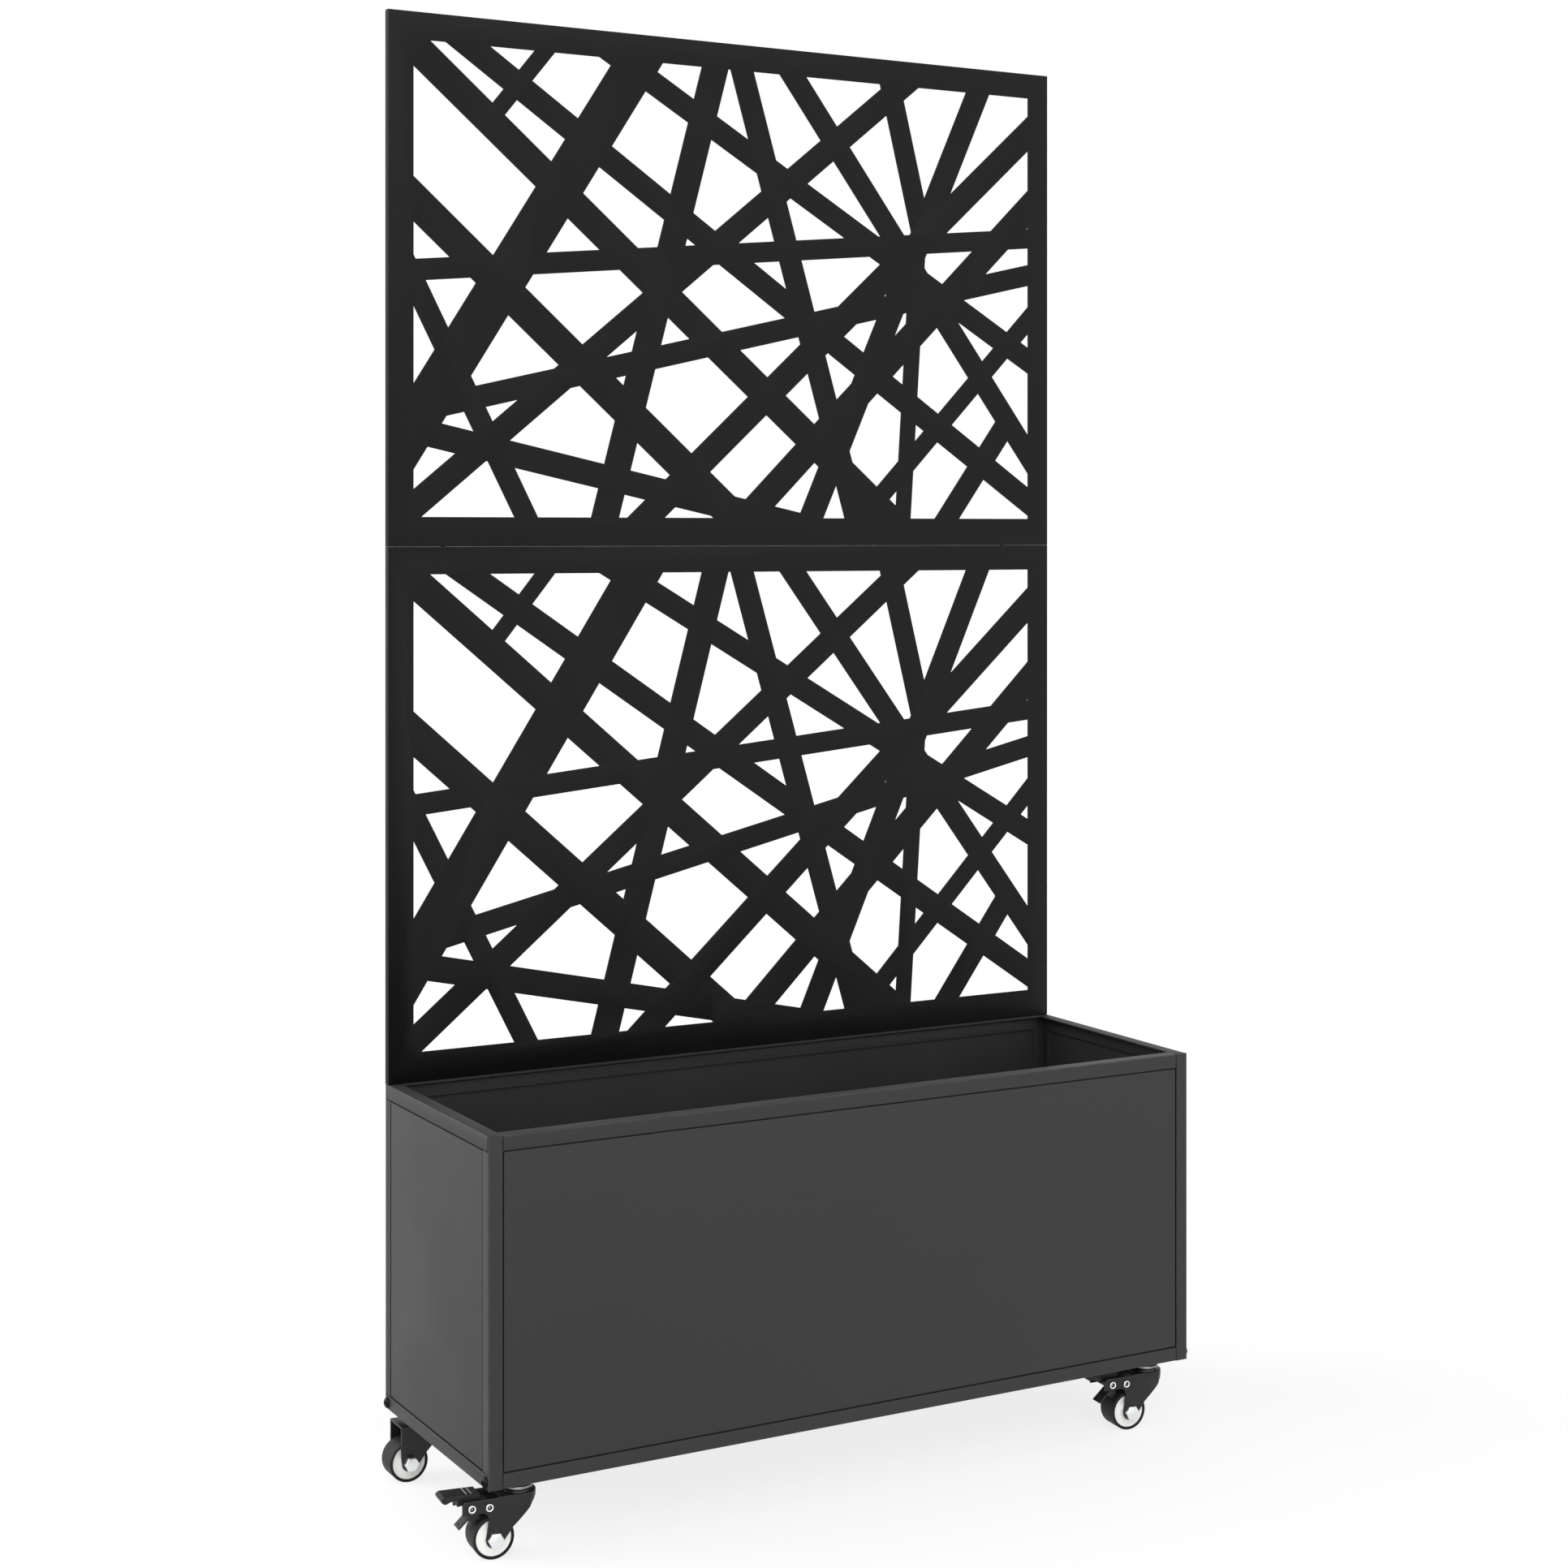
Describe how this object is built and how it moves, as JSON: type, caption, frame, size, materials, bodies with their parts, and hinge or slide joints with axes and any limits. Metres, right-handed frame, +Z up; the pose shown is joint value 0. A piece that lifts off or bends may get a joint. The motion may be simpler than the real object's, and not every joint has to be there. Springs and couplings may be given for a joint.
{
  "type": "planter with trellis",
  "caption": "Long rectangular steel planter box on small casters, with a tall screen of stacked cut-out steel panels along its back for climbing plants.",
  "frame": {"origin": "on the ground under the middle of the whole object's outline, with both front casters trailing to the left as in the rest pose", "axes": "+X along the box to the right seen from its front, +Y from the open front towards the trellis at the back, +Z up"},
  "size_m": [0.8425, 0.2733, 1.472],
  "materials": {
    "box_coat": "matte dark grey powder coat",
    "trellis_coat": "matte near-black powder coat",
    "black_screw": "black oxide steel",
    "black_steel": "black painted pressed steel",
    "polished_steel": "polished steel",
    "zinc": "bright zinc plating",
    "tread": "dark grey polyurethane",
    "white_hub": "white moulded nylon",
    "black_nylon": "black moulded nylon"
  },
  "bodies": {
    "planter_box": {"front_left_post": "box_coat", "front_right_post": "box_coat", "rear_left_post": "box_coat", "rear_right_post": "box_coat", "front_top_rail": "box_coat", "front_bottom_rail": "box_coat", "rear_top_rail": "box_coat", "rear_bottom_rail": "box_coat", "left_top_rail": "box_coat", "left_bottom_rail": "box_coat", "right_top_rail": "box_coat", "right_bottom_rail": "box_coat", "front_wall_panel": "box_coat", "rear_wall_panel": "box_coat", "left_wall_panel": "box_coat", "right_wall_panel": "box_coat", "floor_panel": "box_coat", "front_left_corner_screw": "black_screw", "front_right_corner_screw": "black_screw", "rear_left_corner_screw": "black_screw", "rear_right_corner_screw": "black_screw", "lower_trellis_panel": "trellis_coat", "upper_trellis_panel": "trellis_coat", "lower_trellis_left_screw": "black_screw", "lower_trellis_right_screw": "black_screw", "upper_trellis_left_screw": "black_screw", "upper_trellis_right_screw": "black_screw", "front_left_top_plate": "black_steel", "front_left_ball_race": "polished_steel", "front_right_top_plate": "black_steel", "front_right_ball_race": "polished_steel", "rear_left_rigid_fork": "black_steel", "rear_left_axle_bolt": "zinc", "rear_left_axle_nut": "zinc", "rear_right_rigid_fork": "black_steel", "rear_right_axle_bolt": "zinc", "rear_right_axle_nut": "zinc"},
    "front_left_swivel": {"front_left_fork": "black_steel", "front_left_axle_bolt": "zinc", "front_left_axle_nut": "zinc", "front_left_pedal_rivet": "zinc", "front_left_leaf_rivet": "zinc"},
    "front_left_wheel": {"front_left_hub": "white_hub", "front_left_tyre": "tread"},
    "front_left_pedal": {"front_left_brake_pedal": "black_nylon"},
    "front_left_leaf": {"front_left_brake_leaf": "black_steel"},
    "front_right_swivel": {"front_right_fork": "black_steel", "front_right_axle_bolt": "zinc", "front_right_axle_nut": "zinc", "front_right_pedal_rivet": "zinc", "front_right_leaf_rivet": "zinc"},
    "front_right_wheel": {"front_right_hub": "white_hub", "front_right_tyre": "tread"},
    "front_right_pedal": {"front_right_brake_pedal": "black_nylon"},
    "front_right_leaf": {"front_right_brake_leaf": "black_steel"},
    "rear_left_wheel": {"rear_left_hub": "white_hub", "rear_left_tyre": "tread"},
    "rear_right_wheel": {"rear_right_hub": "white_hub", "rear_right_tyre": "tread"}
  },
  "joints": [
    {"name": "front_left_swivel_turn", "type": "hinge", "parent": "planter_box", "child": "front_left_swivel", "pos_m": [-0.34436, -0.1114, 0.054], "axis": [0, 0, 1], "continuous": true},
    {"name": "front_left_wheel_spin", "type": "hinge", "parent": "front_left_swivel", "child": "front_left_wheel", "pos_m": [-0.37026, -0.10913, 0.02], "axis": [0.0872, 0.9962, 0], "continuous": true},
    {"name": "front_left_pedal_press", "type": "hinge", "parent": "front_left_swivel", "child": "front_left_pedal", "pos_m": [-0.39218, -0.10722, 0.051], "axis": [-0.0872, -0.9962, 0], "range_deg": [0, 12]},
    {"name": "front_left_leaf_swing", "type": "hinge", "parent": "front_left_swivel", "child": "front_left_leaf", "pos_m": [-0.37544, -0.10868, 0.0501], "axis": [-0.0872, -0.9962, 0], "range_deg": [0, 3.5]},
    {"name": "front_right_swivel_turn", "type": "hinge", "parent": "planter_box", "child": "front_right_swivel", "pos_m": [0.37864, -0.1114, 0.054], "axis": [0, 0, 1], "continuous": true},
    {"name": "front_right_wheel_spin", "type": "hinge", "parent": "front_right_swivel", "child": "front_right_wheel", "pos_m": [0.35274, -0.10913, 0.02], "axis": [0.0872, 0.9962, 0], "continuous": true},
    {"name": "front_right_pedal_press", "type": "hinge", "parent": "front_right_swivel", "child": "front_right_pedal", "pos_m": [0.33082, -0.10722, 0.051], "axis": [-0.0872, -0.9962, 0], "range_deg": [0, 12]},
    {"name": "front_right_leaf_swing", "type": "hinge", "parent": "front_right_swivel", "child": "front_right_leaf", "pos_m": [0.34756, -0.10868, 0.0501], "axis": [-0.0872, -0.9962, 0], "range_deg": [0, 3.5]},
    {"name": "rear_left_wheel_spin", "type": "hinge", "parent": "planter_box", "child": "rear_left_wheel", "pos_m": [-0.36786, 0.1156, 0.02], "axis": [0, 1, 0], "continuous": true},
    {"name": "rear_right_wheel_spin", "type": "hinge", "parent": "planter_box", "child": "rear_right_wheel", "pos_m": [0.40214, 0.1156, 0.02], "axis": [0, 1, 0], "continuous": true}
  ],
  "couplings": [
    {"joint": "front_left_leaf_swing", "follows": "front_left_pedal_press", "ratio": 0.29},
    {"joint": "front_right_leaf_swing", "follows": "front_right_pedal_press", "ratio": 0.29}
  ]
}
